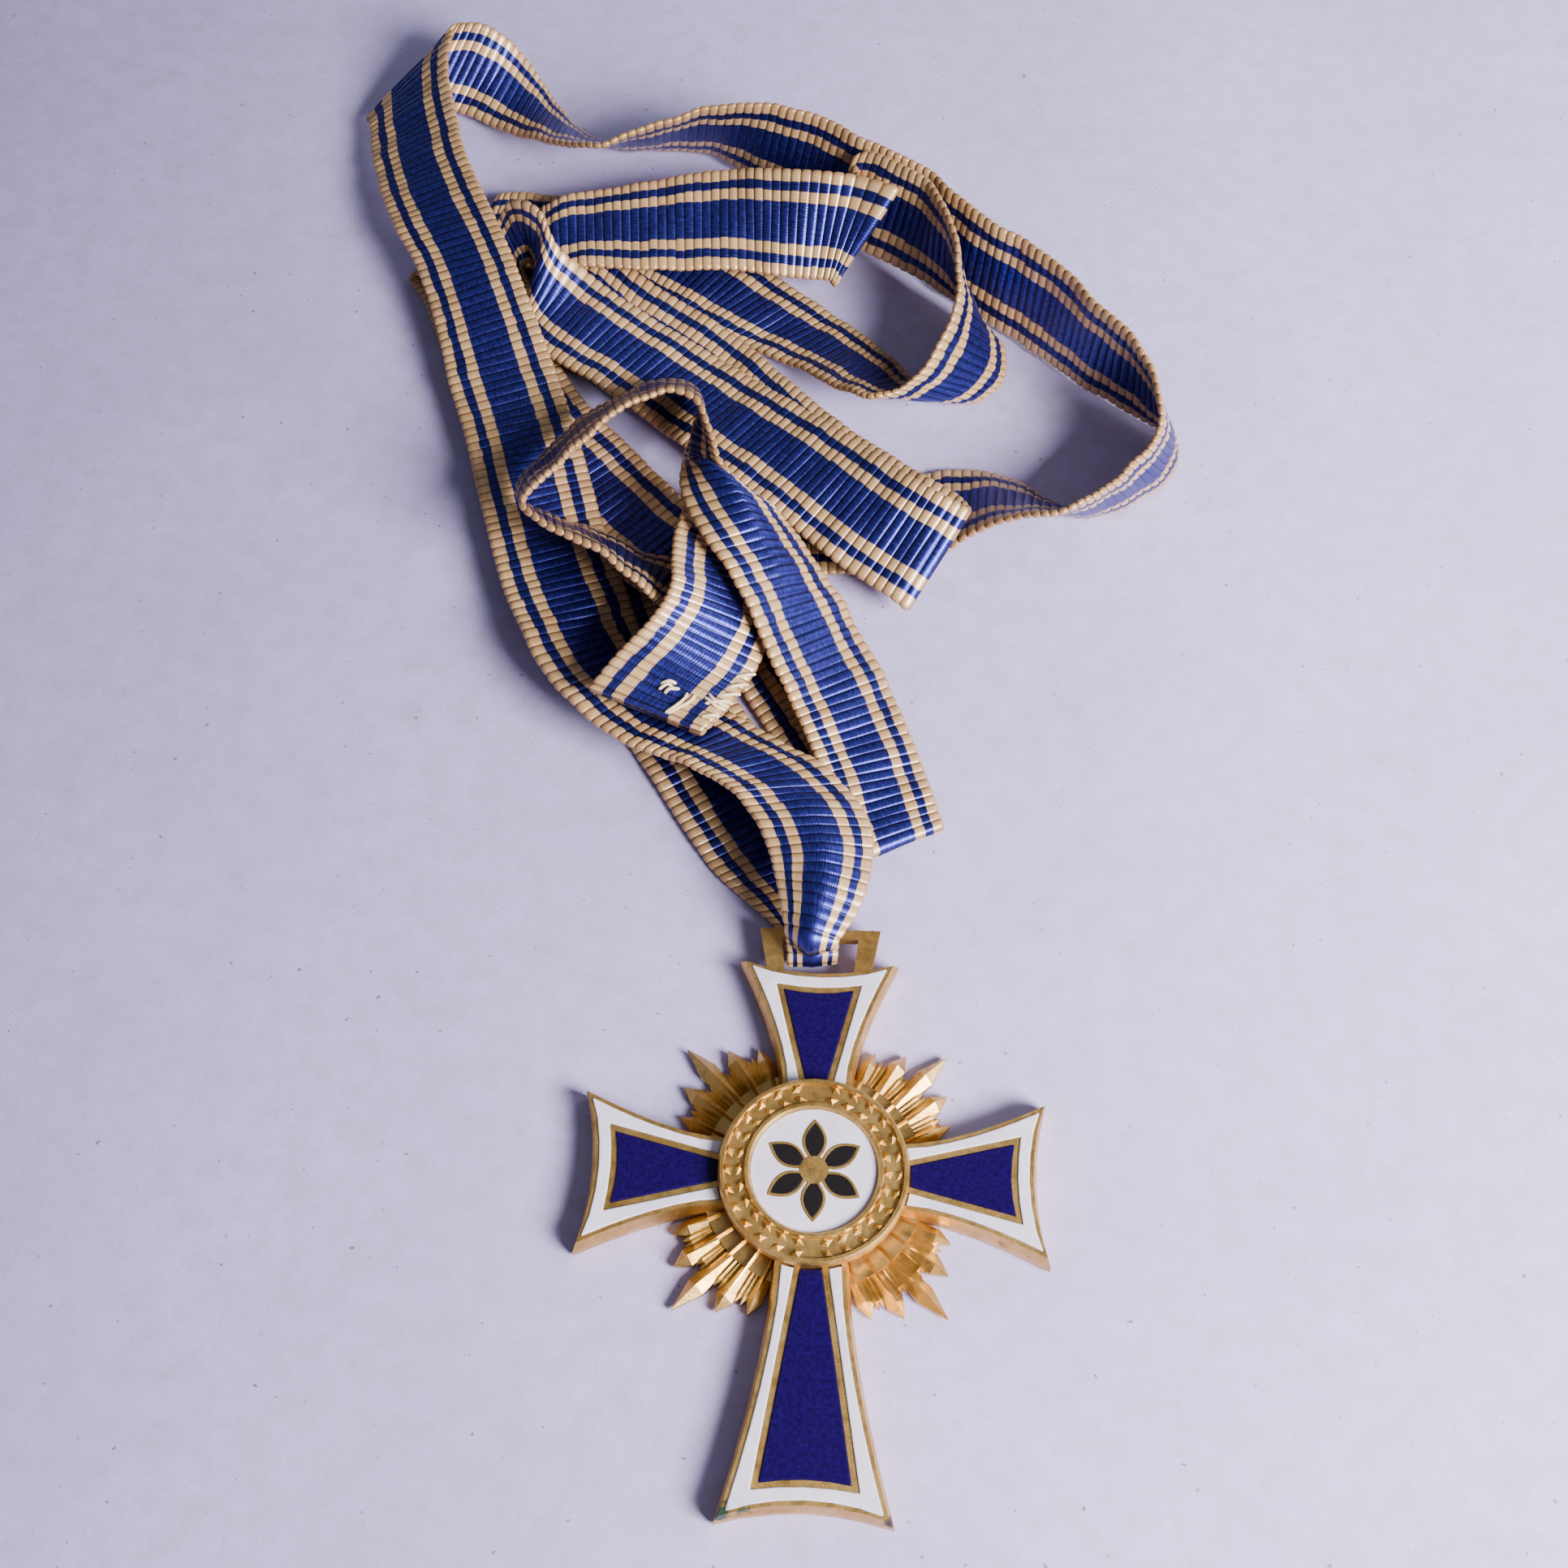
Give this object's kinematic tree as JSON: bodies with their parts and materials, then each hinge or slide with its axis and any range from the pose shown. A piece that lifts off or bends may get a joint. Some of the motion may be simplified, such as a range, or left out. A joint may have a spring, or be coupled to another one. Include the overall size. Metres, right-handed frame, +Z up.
{
  "type": "enamelled long cross medal on a neck ribbon",
  "caption": "Gilt long cross with white and blue enamel arms, rays and a round medallion, lying flat on a long striped neck ribbon in loose folds.",
  "frame": {"origin": "middle of the bounding box in plan, on the surface that the medal and its ribbon lie on", "axes": "+Y runs from the foot of the cross up to the far end of the ribbon, +Z is up from the surface, +X to the right as seen from above"},
  "size_m": [0.0796, 0.145, 0.0114],
  "materials": {
    "gilt": "worn gilt, polished edges",
    "gilt_rays": "worn gilt, bright ridges",
    "white_enamel": "glossy opaque enamel",
    "blue_enamel": "glossy translucent enamel",
    "black_enamel": "glossy opaque enamel",
    "ribbon_silk": "ribbed silk, royal blue with cream edge stripes"
  },
  "bodies": {
    "root": {"cross": "gilt", "ray_star": "gilt_rays", "white_enamel_top": "white_enamel", "white_enamel_right": "white_enamel", "white_enamel_bottom": "white_enamel", "white_enamel_left": "white_enamel", "blue_enamel_top": "blue_enamel", "blue_enamel_right": "blue_enamel", "blue_enamel_bottom": "blue_enamel", "blue_enamel_left": "blue_enamel", "medallion_ring": "gilt", "medallion_field": "white_enamel", "rosette_frame": "gilt", "rosette_enamel": "black_enamel", "ribbon": "ribbon_silk"}
  },
  "joints": []
}
